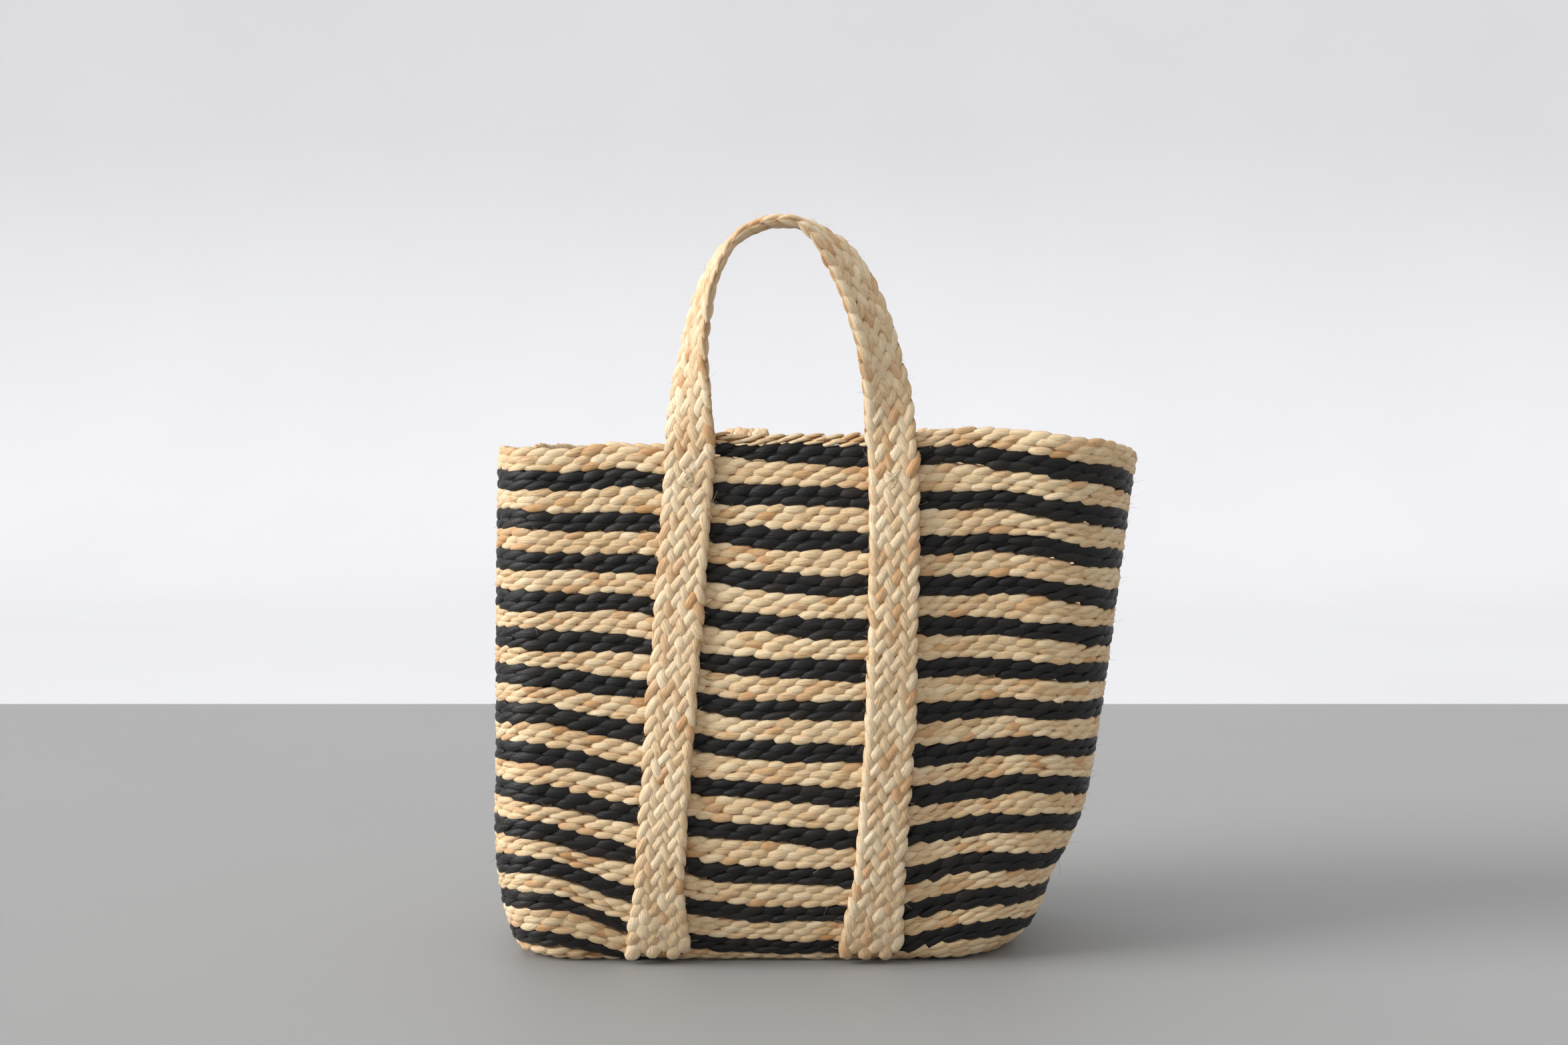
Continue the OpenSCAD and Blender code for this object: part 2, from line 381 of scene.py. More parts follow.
def course_wave(turns, depth):
    """Small unevenness of hand sewing, shared by neighbouring courses."""
    return ripple(COURSE_WAVES, turns, depth) * MM


LAST_TURN = (FULL_DEPTH - SPIRAL_STOP - FIRST_BLACK) / PAIR


def black_depth(turns):
    """Depth of the middle of the black braid."""
    even = FIRST_BLACK + PAIR * turns
    flat = 1.0 - smoothstep((even - FOOT_DEPTH) / (40 * MM))
    return even + course_dip(turns, even) + course_wave(turns, even) * flat


def black_half(turns):
    """Half the height of the black braid, which begins narrow."""
    wave = 0.07 * np.sin(31 * turns + 1.0) + 0.05 * np.sin(74 * turns)
    begin = 0.6 + 0.4 * smoothstep((turns - SPIRAL_START) / 0.07)
    return BLACK_HALF * (1 + wave) * begin


def natural_edges(turns):
    """Upper and lower edge of the natural braid: it fills the room above the black one."""
    lower = black_depth(turns) - black_half(turns)
    above = turns - 1.0
    upper = black_depth(above) + black_half(above)
    full = PAIR - 2 * BLACK_HALF
    begin, growth = RIM_GROWTH
    height = RIM_BRAID + (full - RIM_BRAID) * smoothstep((turns - begin) / growth)
    join = smoothstep((above - SPIRAL_START) / 0.01)
    return upper * join + (lower - height) * (1 - join), lower


def natural_path(turns):
    """Depth and half height of the natural braid."""
    upper, lower = natural_edges(turns)
    return (upper + lower) / 2, (lower - upper) / 2


def black_path(turns):
    """Depth and half height of the black braid."""
    return black_depth(turns), black_half(turns)


def along_spiral(path, step):
    """Turns at even distances along a braid."""
    turns = np.arange(SPIRAL_START, LAST_TURN, 0.002)
    depth, _ = path(turns)
    run = run_along(shell_point(turns, depth))
    return np.interp(np.arange(step / 2, run[-1], step), run, turns)


# ---- Mesh building: closed leaves, ribbons and hairs, with fibre coordinates and a tone ----

def tube_faces(rings, sides):
    """Quads between rings of points that lie one after another."""
    ring, side = np.meshgrid(np.arange(rings - 1), np.arange(sides), indexing="ij")
    here, after = ring * sides + side, ring * sides + (side + 1) % sides
    return np.stack([here, after, after + sides, here + sides], axis=-1).reshape(-1, 4)


def tip_faces(rings, sides):
    """Triangles that close both ends of a tube on the two points that follow its rings."""
    side = np.arange(sides)
    after, top = (side + 1) % sides, (rings - 1) * sides
    first, last = np.full(sides, rings * sides), np.full(sides, rings * sides + 1)
    start = np.stack([first, after, side], axis=1)
    return np.concatenate([start, np.stack([last, top + side, top + after], axis=1)])


def leaf_template(rings, sides, fullness, bow):
    """A closed leaf along X in a unit box. Its pointed ends dive below its middle, and its weight of painted
    shade rises to 1 towards its ends, its sides and its underside, where the leaf tucks under its neighbours."""
    u = -np.cos(np.pi * np.arange(1, rings) / rings)
    girth = (1 - np.abs(u) ** 2.4) ** fullness
    turn = circle(sides)
    y, z = girth[:, None] * np.cos(turn), girth[:, None] * np.sin(turn)
    body = np.stack([np.repeat(u, sides), y.ravel(), z.ravel()], axis=1)
    points = np.concatenate([body, [[-1.0, 0, 0], [1.0, 0, 0]]])
    x, y, z = points.T
    # painted shade: each leaf is darkened towards its ends, its sides and its underside, where shadow falls
    # between the floats
    painted_shade_weight = np.clip(0.8 * np.abs(x) ** 3 + 0.5 * y ** 4 - 0.5 * z, 0, 1)
    points[:, 2] -= bow * points[:, 0] ** 2
    return points, tube_faces(rings - 1, sides), tip_faces(rings - 1, sides), painted_shade_weight


def round_ring(side, front, sides):
    """Offsets round a line, from two directions square to it and to each other."""
    turn = circle(sides)
    return side[..., None, :] * np.cos(turn)[:, None] + front[..., None, :] * np.sin(turn)[:, None]


class Braid:
    """Collects closed pieces of jute into one mesh."""

    def __init__(self):
        self.points, self.quads, self.tris, self.fibre, self.tone = [], [], [], [], []
        self.count = 0

    def add(self, points, quads, tris, fibre, tone):
        """Adds copies of one shape: points and fibre are copies x points x 3, tone copies x points x 4."""
        copies, size, _ = points.shape
        first = self.count + size * np.arange(copies)[:, None, None]
        self.points.append(points.reshape(-1, 3))
        self.quads.append((quads[None] + first).reshape(-1, 4))
        self.tris.append((tris[None] + first).reshape(-1, 3))
        self.fibre.append(fibre.reshape(-1, 3))
        self.tone.append(tone.reshape(-1, 4))
        self.count += copies * size

    def leaves(self, template, centre, along, across, out, size, sway, tone):
        """Adds a leaf per row: half sizes along, across and out, and an S-shaped sway of its middle line."""
        shape, quads, tris, painted_shade_weight = template
        u, v, w = shape.T
        local = np.stack([
            size[:, 0, None] * u,
            size[:, 1, None] * v + size[:, 0, None] * sway * (u - u ** 3),
            size[:, 2, None] * w,
        ], axis=2)
        points = centre[:, None, :] + local @ np.stack([along, across, out], axis=1)
        fibre = local + RNG.uniform(-5, 5, (len(centre), 1, 3))
        tones = np.repeat(tone[:, None, :], len(shape), axis=1)
        # painted shade on each leaf's ends, sides and underside
        tones[:, :, 2] *= painted_shade_weight
        self.add(points, quads, tris, fibre, tones)

    def floats(self, template, centre, along, across, out, size, sway, lift):
        """Adds a leaf on the outer face and one on the inner face for each row."""
        count = len(centre)
        for side in (1, -1):
            here = centre + side * out * (lift + RNG.normal(0, 0.2 * MM, (count, 1)))
            tones = leaf_tones(count)
            self.leaves(template, here, along, side * across, side * out, size, side * sway, tones)

    def tube(self, line, ring, tone):
        """Adds one closed tube: ring holds the offsets from each point of the line."""
        rings, sides, _ = ring.shape
        body = (line[:, None, :] + ring).reshape(-1, 3)
        points = np.concatenate([body, line[[0, -1]]])
        run, turn = run_along(line), circle(sides)
        width = np.linalg.norm(ring, axis=2).mean()
        fibre = np.stack([
            np.repeat(run, sides),
            np.tile(width * np.cos(turn), rings),
            np.tile(width * np.sin(turn), rings),
        ], axis=1)
        fibre = np.concatenate([fibre, [[0.0, 0, 0], [run[-1], 0, 0]]]) + RNG.uniform(-5, 5, 3)
        tones = np.tile(np.array(tone), (1, len(points), 1))
        self.add(points[None], tube_faces(rings, sides), tip_faces(rings, sides), fibre, tones)

    def ribbon(self, line, across, out, half_width, half_depth, tone):
        """Adds a closed strip with an oval section."""
        turn = circle(8)
        wide = across[:, None, :] * (half_width[:, None] * np.cos(turn))[:, :, None]
        self.tube(line, wide + out[:, None, :] * (half_depth * np.sin(turn))[None, :, None], tone)

    def hair(self, line, radius, tone):
        """Adds a thin closed tube that narrows to its tip and stays above the ground."""
        direction = unit(np.gradient(line, axis=0))
        side = unit(np.cross(direction, np.array([0.31, 0.52, 0.79])))
        line = np.maximum(line, [-1.0, -1.0, 0.4 * MM])
        narrow = radius * np.linspace(1.0, 0.4, len(line))[:, None, None]
        self.tube(line, round_ring(side, np.cross(direction, side), 3) * narrow, tone)

    def build(self, name, material):
        """Makes the piece, with fibre coordinates and tones at its points."""
        points = np.concatenate(self.points)
        quads, tris = np.concatenate(self.quads), np.concatenate(self.tris)
        loops = np.concatenate([quads.ravel(), tris.ravel()])
        sizes = np.concatenate([np.full(len(quads), 4), np.full(len(tris), 3)])
        starts = np.concatenate([[0], np.cumsum(sizes)[:-1]])
        mesh = bpy.data.meshes.new(name)
        mesh.vertices.add(len(points))
        mesh.vertices.foreach_set("co", points.astype(np.float32).ravel())
        mesh.loops.add(int(sizes.sum()))
        mesh.loops.foreach_set("vertex_index", loops.astype(np.int32))
        mesh.polygons.add(len(sizes))
        mesh.polygons.foreach_set("loop_start", starts.astype(np.int32))
        mesh.polygons.foreach_set("use_smooth", np.ones(len(sizes), dtype=bool))
        mesh.update(calc_edges=True)
        fibre = mesh.attributes.new("fibre", "FLOAT_VECTOR", "POINT")
        fibre.data.foreach_set("vector", np.concatenate(self.fibre).astype(np.float32).ravel())
        tone = mesh.attributes.new("tone", "FLOAT_COLOR", "POINT")
        tone.data.foreach_set("color", np.concatenate(self.tone).astype(np.float32).ravel())
        mesh.materials.append(material)
        piece = bpy.data.objects.new(name, mesh)
        bpy.context.collection.objects.link(piece)
        return piece


LEAF = leaf_template(rings=10, sides=10, fullness=0.62, bow=0.9)
STRAP_LEAF = leaf_template(rings=10, sides=10, fullness=0.82, bow=0.8)


def leaf_tones(count):
    """Per leaf: lightness, chance of a rust-coloured strand, weight of the painted shade on its ends and
    sides, and alpha.
    """
    tones = np.ones((count, 4))
    tones[:, 0] = RNG.beta(2.2, 2.0, count)
    tones[:, 1] = RNG.uniform(0, 1, count)
    return tones


def add_fuzz(braid, points, along, out, count, reach, lightness):
    """Loose fibres that stand off the surface, each starting at one of the points."""
    roots = RNG.integers(0, len(points), count)
    steps = np.linspace(0, 1, 5)[:, None]
    for root in roots:
        lean = along[root] * RNG.normal(0, 1.0) + out[root] * RNG.uniform(0.35, 1.0)
        lean = lean + RNG.normal(0, 0.45, 3)
        curl = RNG.normal(0, 0.5, 3)
        length = reach * RNG.uniform(0.4, 1.0)
        line = points[root] + length * (steps * unit(lean) + steps ** 2 * curl * 0.6)
        braid.hair(line, RNG.uniform(0.07, 0.13) * MM, (lightness, 0.0, 0.0, 1.0))


# ---- Materials ----

def srgb(code):
    """A colour as Blender's linear values, from its hexadecimal code."""
    channels = [int(code[i:i + 2], 16) / 255 for i in (1, 3, 5)]
    return tuple(c / 12.92 if c <= 0.04045 else ((c + 0.055) / 1.055) ** 2.4 for c in channels) + (1.0,)


class Shader:
    """A small helper that adds and links nodes."""

    def __init__(self, name):
        self.material = bpy.data.materials.new(name)
        self.material.use_nodes = True
        self.tree = self.material.node_tree
        self.surface = self.tree.nodes["Principled BSDF"]

    def node(self, kind, **settings):
        node = self.tree.nodes.new(kind)
        for key, value in settings.items():
            if hasattr(node, key):
                setattr(node, key, value)
            else:
                node.inputs[key].default_value = value
        return node

    def link(self, source, target):
        self.tree.links.new(source, target)

    def attribute(self, name):
        return self.node("ShaderNodeAttribute", attribute_type="GEOMETRY", attribute_name=name)

    def noise(self, vector, scale, detail=2.0, roughness=0.5):
        noise = self.node("ShaderNodeTexNoise", Scale=scale, Detail=detail, Roughness=roughness)
        self.link(vector, noise.inputs["Vector"])
        return noise.outputs["Fac"]

    def stretched(self, vector, scale):
        mapping = self.node("ShaderNodeMapping", vector_type="POINT")
        mapping.inputs["Scale"].default_value = scale
        self.link(vector, mapping.inputs["Vector"])
        return mapping.outputs["Vector"]

    def math(self, operation, first, second, clamp=False):
        node = self.node("ShaderNodeMath", operation=operation, use_clamp=clamp)
        for socket, value in zip(node.inputs, (first, second)):
            if isinstance(value, (int, float)):
                socket.default_value = value
            else:
                self.link(value, socket)
        return node.outputs[0]

    def ramp(self, factor, stops):
        node = self.node("ShaderNodeValToRGB")
        elements = node.color_ramp.elements
        while len(elements) < len(stops):
            elements.new(0.5)
        for element, (position, colour) in zip(elements, stops):
            element.position = position
            element.color = colour
        self.link(factor, node.inputs["Fac"])
        return node.outputs["Color"]

    def mix(self, factor, first, second):
        node = self.node("ShaderNodeMix", data_type="RGBA")
        for socket, value in ((node.inputs[0], factor), (node.inputs[6], first), (node.inputs[7], second)):
            if isinstance(value, (int, float, tuple)):
                socket.default_value = value
            else:
                self.link(value, socket)
        return node.outputs[2]

    def bump(self, height, strength, distance, below=None):
        node = self.node("ShaderNodeBump", Strength=strength, Distance=distance)
        self.link(height, node.inputs["Height"])
        if below is not None:
            self.link(below, node.inputs["Normal"])
        return node.outputs["Normal"]


def jute_material(name, straw, rust, shade, roughness, sheen, grain):
    """Jute fibre with fine streaks along each strand. Straw is a colour ramp from dark to light strands, rust
    tints some strands and patches, and shade is a painted shade colour that darkens their ends, sides and
    undersides, where shadow falls between the floats."""
    shader = Shader(name)
    fibre = shader.attribute("fibre").outputs["Vector"]
    tone = shader.node("ShaderNodeSeparateColor")
    shader.link(shader.attribute("tone").outputs["Color"], tone.inputs[0])
    lightness, chance, painted_shade_weight = tone.outputs[0], tone.outputs[1], tone.outputs[2]
    streaks = shader.noise(shader.stretched(fibre, (0.07, 1.0, 1.0)), 2300, 3.0, 0.6)
    wisps = shader.noise(shader.stretched(fibre, (0.10, 1.0, 1.0)), 900, 2.0)
    patches = shader.noise(fibre, 110, 2.0)
    light = shader.math("MULTIPLY", lightness, 0.50)
    light = shader.math("ADD", light, shader.math("MULTIPLY", streaks, 0.55))
    light = shader.math("ADD", light, shader.math("MULTIPLY", wisps, 0.95))
    light = shader.math("SUBTRACT", light, 0.50, clamp=True)
    colour = shader.ramp(light, [(place, srgb(code)) for place, code in straw])
    rusty = shader.math("MULTIPLY", shader.math("GREATER_THAN", chance, 0.87), patches)
    warm = shader.math("MULTIPLY", shader.math("SUBTRACT", patches, 0.56, clamp=True), 1.6, clamp=True)
    colour = shader.mix(shader.math("MAXIMUM", rusty, warm), colour, srgb(rust))
    # painted shade: the ends, sides and undersides of the floats are mixed towards the shade colour
    colour = shader.mix(shader.math("MULTIPLY", painted_shade_weight, 0.88), colour, srgb(shade))
    shader.link(colour, shader.surface.inputs["Base Color"])
    coarse = shader.bump(wisps, 0.7 * grain, 0.9 * MM)
    shader.link(shader.bump(streaks, 0.8 * grain, 0.35 * MM, coarse), shader.surface.inputs["Normal"])
    rough = shader.math("ADD", shader.math("MULTIPLY", streaks, 0.25), roughness)
    shader.link(rough, shader.surface.inputs["Roughness"])
    for socket, value in (("Sheen Weight", sheen), ("Sheen Roughness", 0.45), ("Specular IOR Level", 0.35)):
        shader.surface.inputs[socket].default_value = value
    return shader.material


NATURAL = jute_material(
    "natural_jute",
    [(0.0, "#a78053"), (0.35, "#d8b78a"), (0.7, "#e8d0a8"), (1.0, "#f0dfc0")],
    rust="#bd8142", shade="#94642f", roughness=0.47, sheen=0.15, grain=1.0,
)
STRAP = jute_material(
    "strap_jute",
    [(0.0, "#ad875b"), (0.35, "#dabb91"), (0.7, "#e9d4b1"), (1.0, "#f0e1c8")],
    rust="#bd8142", shade="#9c6c38", roughness=0.47, sheen=0.15, grain=1.0,
)
BLACK = jute_material(
    "black_jute",
    [(0.0, "#090807"), (0.4, "#0d0b0a"), (0.75, "#181513"), (1.0, "#322e2b")],
    rust="#2a211c", shade="#060505", roughness=0.36, sheen=0.03, grain=0.8,
)
THREAD = jute_material(
    "thread",
    [(0.0, "#c9ac7e"), (0.4, "#dcc8a2"), (0.75, "#ece0c8"), (1.0, "#f5f0e2")],
    rust="#cdb48a", shade="#a3885e", roughness=0.55, sheen=0.1, grain=1.0,
)


# ---- Wall and base braids ----

def course_fall(turns, path):
    """Angle at which a braid falls below level as it goes round."""
    nudge = 0.003
    before, after = path(turns - nudge)[0], path(turns + nudge)[0]
    run = np.linalg.norm(shell_point(turns + nudge, before) - shell_point(turns - nudge, before), axis=1)
    return np.arctan2(after - before, run)


def add_course(braid, turns, path, rows, slant, half_length):
    """Adds the floats of one braid at the given turns, in rows of (offset, half height)."""
    depth, half = path(turns)
    fall = course_fall(turns, path)
    for index, (offset, height) in enumerate(rows):
        count = len(turns)
        stagger = (index % 2) * 0.5 * (turns[1] - turns[0])
        here = turns + RNG.normal(0, 0.0005, count) + stagger
        at = depth - offset * half + RNG.normal(0, 0.25 * MM, count)
        point, around, up, out = shell_frame(here, at)
        along, across = turned(around, up, np.radians(slant + RNG.normal(0, 3.5, count)) - fall)
        squeeze = np.clip(half / (PAIR / 4), 0.45, 1.2)
        size = np.stack([
            half_length * (0.4 + 0.6 * np.minimum(squeeze, 1.0)) * RNG.normal(1.0, 0.08, count),
            height * squeeze * RNG.normal(1.0, 0.07, count),
            FLOAT_HALF * RNG.normal(1.0, 0.08, count),
        ], axis=1)
        braid.floats(LEAF, point, along, across, out, size, 0.11, FLOAT_LIFT)
        add_fuzz(braid, point + out * 3.4 * MM, along, out, count // 5, reach=7 * MM, lightness=0.6)


def add_backing(braid, first, last, path):
    """A thin strip inside the braid, so that no light passes between its floats."""
    turns = np.linspace(first, last, max(int((last - first) * 170), 4))
    depth, half = path(turns)
    point, _, up, out = shell_frame(turns, depth)
    # painted shade: the strip is coloured dark, as the shadow between the floats
    braid.ribbon(point, up, out, half * 0.78, 1.7 * MM, SHADED_BACKING_TONE)


# Each braid's material, path, rows, pitch, slant in degrees and half length of a float, and the CAD nodes
# of its part of the base
COURSES = {
    "natural": (
        NATURAL, natural_path, NATURAL_ROWS, NATURAL_PITCH, 6.5, 10.6 * MM,
        ["base_core", "base_turn_2", "base_turn_4"],
    ),
    "black": (
        BLACK, black_path, BLACK_ROWS, BLACK_PITCH, 9.0, 12.6 * MM,
        ["base_turn_1", "base_turn_3", "base_turn_5"],
    ),
}


def course_piece(kind, level, base_nodes):
    """Name of a braid's piece at a level counted from the base, and the CAD nodes that it replaces."""
    if level == 0:
        return f"base_{kind}_coil", base_nodes
    if level == WALL_TURNS["natural"]:
        return "rim_course", ["rim_turn"]
    return f"{kind}_course_{level:02d}", [f"{kind}_turn_{level:02d}"]


def build_courses():
    """Both braids of the spiral, in one piece a turn down the wall and one for the base."""
    for kind, plan in COURSES.items():
        material, path, rows, pitch, slant, half_length, base_nodes = plan
        turns = along_spiral(path, pitch)
        wall_turns = WALL_TURNS[kind]
        for level in range(wall_turns, -1, -1):
            first = SPIRAL_START + (wall_turns - level)
            last = min(first + 1, LAST_TURN) if level > 0 else LAST_TURN
            here = turns[(turns >= first) & (turns < last)]
            braid = Braid()
            add_course(braid, here, path, rows, slant, half_length)
            add_backing(braid, first, last, path)
            if kind == "natural" and level == 0:
                add_core(braid)
            name, nodes = course_piece(kind, level, base_nodes)
            piece = braid.build(name, material)
            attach(piece, "basket")
            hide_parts(*nodes)


def add_core(braid):
    """The straight braid at the middle of the base."""
    reach, width = core_sizes()
    places = np.arange(-reach, reach, NATURAL_PITCH)
    count = len(places)
    cos, sin = math.cos(BASE_ANGLE), math.sin(BASE_ANGLE)
    axes = [cos, sin, 0], [sin, -cos, 0], [0, 0, -1.0]
    right, up, out = (np.tile(axis, (count, 1)) for axis in axes)
    for offset, height in NATURAL_ROWS:
        point = right * places[:, None] + up * offset * width - out * WALL_HALF
        along, across = turned(right, up, np.radians(RNG.normal(12, 3.5, count)))
        size = np.tile([9.8 * MM, height, FLOAT_HALF], (count, 1))
        braid.floats(LEAF, point, along, across, out, size, 0.16, FLOAT_LIFT)


# ---- Straps: sewn legs, and arches that swing ----

def leg_path(side, end):
    """Middle line of a sewn leg, from its turned-under foot up to the hinge, and its frame. A rear leg is
    given mirrored to the front."""
    low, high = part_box(f"{end}_{side}_strap")
    shift, power = LEG_STRAY[side]
    top_x = high.x - SOLID_HALF + shift
    foot_x = low.x + SOLID_FOOT
    depth = np.linspace(FOOT_DEPTH - 3 * MM, 0.0, 90)
    share = depth / depth[0]
    x = top_x + (foot_x - top_x) * share ** power
    point, around, _, out = shell_frame(plan_place(x, depth, end), depth)
    if end == "rear":
        point, around, out = (v * MIRROR for v in (point, -around, out))
    line = point + out * (WALL_HALF + STRAP_HALF + 0.3 * MM)
    turn = np.radians(np.linspace(100, 10, 10))[:, None]    # from the hidden end to the wall
    radius = line[0, 2] - STRAP_HALF - 1.6 * MM
    inward = np.array([0.0, 1.0, 0.0])
    down = np.array([0.0, 0.0, -1.0])
    under = line[0] + radius * ((1 - np.cos(turn)) * inward + np.sin(turn) * down)
    under_out = np.sin(turn) * down - np.cos(turn) * inward
    line = np.concatenate([under, line])
    out = np.concatenate([under_out, out])
    across = np.concatenate([np.tile(around[0], (len(turn), 1)), around])
    return line, across, out


def arch_path(hinge):
    """Middle line of the free arch, upright over its hinge axis, from the left leg to the right."""
    low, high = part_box("front_handle")
    left_end = low.x + SOLID_HALF + ARCH_ENDS["left"]
    right_end = high.x - SOLID_HALF + ARCH_ENDS["right"]
    span, middle = (right_end - left_end) / 2, (right_end + left_end) / 2
    phi = np.radians(np.linspace(0, 180, 181))
    power = np.where(phi < math.pi / 2, ARCH_POWERS["left"], ARCH_POWERS["right"])
    x = middle - np.sign(np.cos(phi)) * span * np.abs(np.cos(phi)) ** power
    z = hinge[2] + ARCH_HEIGHT * np.abs(np.sin(phi)) ** power
    line = np.stack([x, np.full_like(x, hinge[1] + 4.5 * MM), z], axis=1)
    run = run_along(line)
    even = np.linspace(0, run[-1], 150)
    line = pick(line, run, even)
    phi = np.interp(even, run, phi)
    height = (line[:, 2] - hinge[2]) / ARCH_HEIGHT
    left, right = (np.interp(height, TWIST_HEIGHTS, ARCH_TWISTS[side]) for side in ("left", "right"))
    twist = np.radians(np.where(phi < math.pi / 2, left, right))[:, None]
    direction = unit(np.gradient(line, axis=0))
    flat = np.stack([direction[:, 2], np.zeros(len(line)), -direction[:, 0]], axis=1)
    across = flat * np.cos(twist) - np.array([0.0, 1.0, 0.0]) * np.sin(twist)
    return line, across, np.cross(across, direction)


def strap_path(end):
    """The whole strap: left leg, arch and right leg, its frame, and how far along it the two hinges lie."""
    hinge = joint_point("front_handle_fold")
    arch = arch_path(hinge)
    left, right = leg_path("left", end), leg_path("right", end)
    left_run, right_run = run_along(left[0])[-1], run_along(right[0])[-1]
    if end == "rear":
        arch = tuple(swung(v, centre, REAR_FOLD) for v, centre in zip(arch, (hinge, None, None)))
        left, right = with_bend(left, hinge), with_bend(right, hinge)
    line, across, out = (
        np.concatenate([first, middle[2:-2], last[::-1]])
        for first, middle, last in zip(left, arch, (right[0], -right[1], right[2]))
    )
    hinges = left_run, run_along(line)[-1] - right_run
    if end == "rear":
        line, across, out = (v * MIRROR for v in (line, across, out))
    return line, across, out, hinges


def swung(values, centre, angle):
    """Turns front-strap points outwards and down about the hinge axis, or directions with no centre."""
    centre = np.zeros(3) if centre is None else centre
    cos, sin = math.cos(angle), math.sin(angle)
    y, z = values[:, 1] - centre[1], values[:, 2] - centre[2]
    return np.stack([values[:, 0], centre[1] + y * cos - z * sin, centre[2] + y * sin + z * cos], axis=1)


def with_bend(leg, hinge):
    """Adds the bend over the hinge axis to the top of a leg."""
    angles = np.radians(np.linspace(15, 155, 9))
    bent = []
    for values, centre in zip(leg, (hinge, None, None)):
        bent.append(np.concatenate([values] + [swung(values[-1:], centre, angle) for angle in angles]))
    return tuple(bent)


def joint_point(name):
    """A point on a joint's axis."""
    for joint in frame["joints"]:
        if joint["name"] == name:
            return np.array(joint["pos_m"])
    raise KeyError(name)


def bent_leaves(braid, path, run, where, offset, angle, size, lift):
    """Adds leaves that follow a strap's path, on its outer and its inner face."""
    line, across, out = path
    shape, quads, tris, painted_shade_weight = STRAP_LEAF
    u, v, w = shape.T
    count = len(where)
    cos, sin = np.cos(angle)[:, None], np.sin(angle)[:, None]
    right_handed = np.sum(np.cross(np.gradient(line, axis=0), across) * out) > 0
    for face in (1, -1):
        local_x = size[:, 0, None] * u
        local_y = size[:, 1, None] * v + size[:, 0, None] * 0.1 * (u - u ** 3)
        local_z = size[:, 2, None] * w
        at = (where[:, None] + local_x * cos - local_y * sin).ravel()
        side = (offset[:, None] + local_x * sin + local_y * cos).ravel()[:, None]
        rise = face * (local_z + lift + RNG.normal(0, 0.2 * MM, (count, 1))).ravel()[:, None]
        points = pick(line, run, at)
        points += unit(pick(across, run, at)) * side + unit(pick(out, run, at)) * rise
        fibre = np.stack([local_x, local_y, local_z], axis=2) + RNG.uniform(-5, 5, (count, 1, 3))
        tones = np.repeat(leaf_tones(count)[:, None, :], len(shape), axis=1)
        # painted shade on each leaf's ends, sides and underside
        tones[:, :, 2] *= painted_shade_weight
        order = 1 if (face > 0) == right_handed else -1
        points = points.reshape(count, len(shape), 3)
        braid.add(points, quads[:, ::order], tris[:, ::order], fibre, tones)


def add_plait(braid, path, first, last, spread):
    """The part of a flat plait between two distances along its path."""
    line, across, out = path
    run = run_along(line)
    for index, (offset, slant, length, width) in enumerate(COLUMNS):
        where = np.arange(STRAP_PITCH * (0.75 + 0.5 * (index % 2)), run[-1] - 8 * MM, STRAP_PITCH)
        where = where + RNG.normal(0, 0.5 * MM, len(where))
        where = where[(where >= first) & (where < last)]
        count = len(where)
        wide = np.interp(where, run, spread)
        size = np.stack([
            length * MM * RNG.normal(1, 0.07, count),
            width * MM * wide * RNG.normal(1, 0.07, count),
            2.4 * MM * RNG.normal(1, 0.07, count),
        ], axis=1)
        shift = offset * STRAP_WIDTH / 2 * wide
        angle = np.radians(slant / wide ** 2 + RNG.normal(0, 4, count))
        lift = 1.4 * MM - 0.5 * MM * abs(offset) ** 3
        bent_leaves(braid, path, run, where, shift, angle, size, lift)
        side, face = unit(pick(across, run, where)), unit(pick(out, run, where))
        direction = np.cross(side, face)
        centre = pick(line, run, where) + side * shift[:, None]
        roots = centre + face * 3.2 * MM
        add_fuzz(braid, roots, direction, face, count // 2, reach=8 * MM, lightness=0.75)
        if abs(offset) > 0.5:
            edge = side * math.copysign(1.0, offset)
            roots = centre + edge * 2.5 * MM
            add_fuzz(braid, roots, direction, edge, 2 * count, reach=7 * MM, lightness=0.75)
    add_strap_backing(braid, path, run, first, min(last, run[-1]), spread)


def add_strap_backing(braid, path, run, first, last, spread):
    """A thin strip inside a strap, so that no light passes between its floats."""
    line, _, out = path
    even = np.linspace(first, last, max(int((last - first) / (5 * MM)), 4))
    half = (STRAP_WIDTH / 2 - 2.5 * MM) * np.interp(even, run, spread)
    middle, face = pick(line, run, even), unit(pick(out, run, even))
    side = np.cross(face, unit(np.gradient(middle, axis=0)))
    # painted shade: the strip is coloured dark, as the shadow between the floats
    braid.ribbon(middle, side, face, half, 1.7 * MM, SHADED_BACKING_TONE)


def build_strap(end):
    """One strap in three pieces: the two legs, which bend at the hinge, and the arch, which swings."""
    line, across, out, (left_hinge, right_hinge) = strap_path(end)
    path = line, across, out
    spread = 1.0 + FOOT_SPREAD * smoothstep(1 - (line[:, 2] - 6 * MM) / FOOT_SPREAD_HEIGHT)
    total = run_along(line)[-1]
    bend = 12 * MM if end == "rear" else 0.0
    parts = [
        ("left_leg", f"{end}_left_strap", 0.0, left_hinge + bend + SPLIT),
        ("right_leg", f"{end}_right_strap", right_hinge - bend - SPLIT, total),
        ("arch", f"{end}_handle", left_hinge + bend + SPLIT, right_hinge - bend - SPLIT),
    ]
    for name, node, first, last in parts:
        braid = Braid()
        add_plait(braid, path, first, last, spread)
        piece = braid.build(f"{end}_{name}", STRAP)
        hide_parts(node)
        if name == "arch":
            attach(piece, f"{end}_handle")
        else:
            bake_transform(piece)


